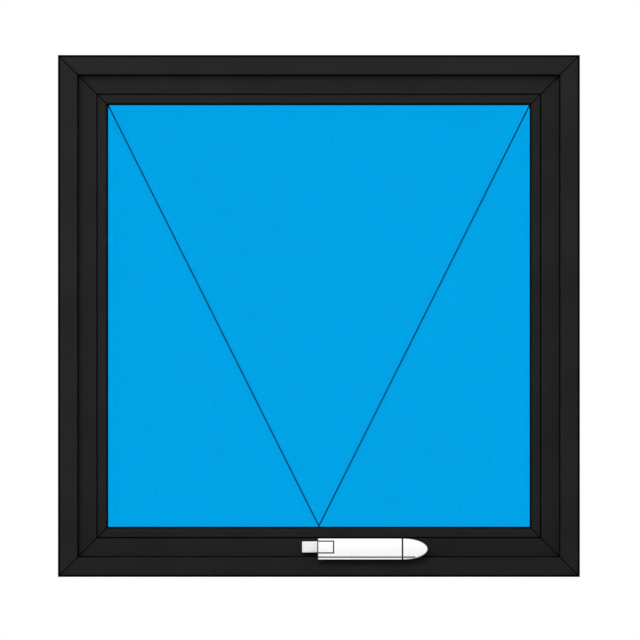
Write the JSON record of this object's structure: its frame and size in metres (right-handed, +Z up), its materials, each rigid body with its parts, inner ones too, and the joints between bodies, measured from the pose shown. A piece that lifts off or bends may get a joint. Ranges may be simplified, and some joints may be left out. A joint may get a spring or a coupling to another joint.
{
  "type": "upvc ventilator window",
  "caption": "Square top-hung ventilator window of dark uPVC: mitred frame and sash, beads, seals, sealed blue-tinted glass unit and a white lever handle on the bottom rail.",
  "frame": {"origin": "middle of the outer frame's underside, half way through the frame's depth", "axes": "+Z up, -Y out of the face towards the room, +Y to the weather side, +X to the right as seen from the room"},
  "size_m": [0.6, 0.0865, 0.6],
  "materials": {
    "upvc_black": "fine foil grain",
    "bead_black": "fine foil grain",
    "seal_rubber": "matt",
    "sealant": "matt",
    "glass_clear": "clear",
    "glass_blue": "body-tinted sky blue",
    "spacer_metal": "mill",
    "block_plastic": "moulded",
    "handle_white": "white powder coat",
    "spindle_steel": "zinc plated"
  },
  "bodies": {
    "root": {"frame_sill": "upvc_black", "frame_head": "upvc_black", "frame_jamb_left": "upvc_black", "frame_jamb_right": "upvc_black", "drain_caps": "bead_black", "sash_bottom_rail": "upvc_black", "sash_top_rail": "upvc_black", "sash_stile_left": "upvc_black", "sash_stile_right": "upvc_black", "bead_bottom": "bead_black", "bead_top": "bead_black", "bead_left": "bead_black", "bead_right": "bead_black", "frame_seal": "seal_rubber", "sash_seal": "seal_rubber", "glazing_gasket_room": "seal_rubber", "glazing_gasket_weather": "seal_rubber", "pane_room": "glass_clear", "pane_weather": "glass_blue", "glass_spacer": "spacer_metal", "glass_edge_sealant": "sealant", "glass_blocks": "block_plastic", "handle_base": "handle_white", "handle_neck": "handle_white", "handle_lever": "handle_white", "handle_nose": "handle_white", "handle_cap": "handle_white", "handle_spindle": "spindle_steel"}
  },
  "joints": []
}
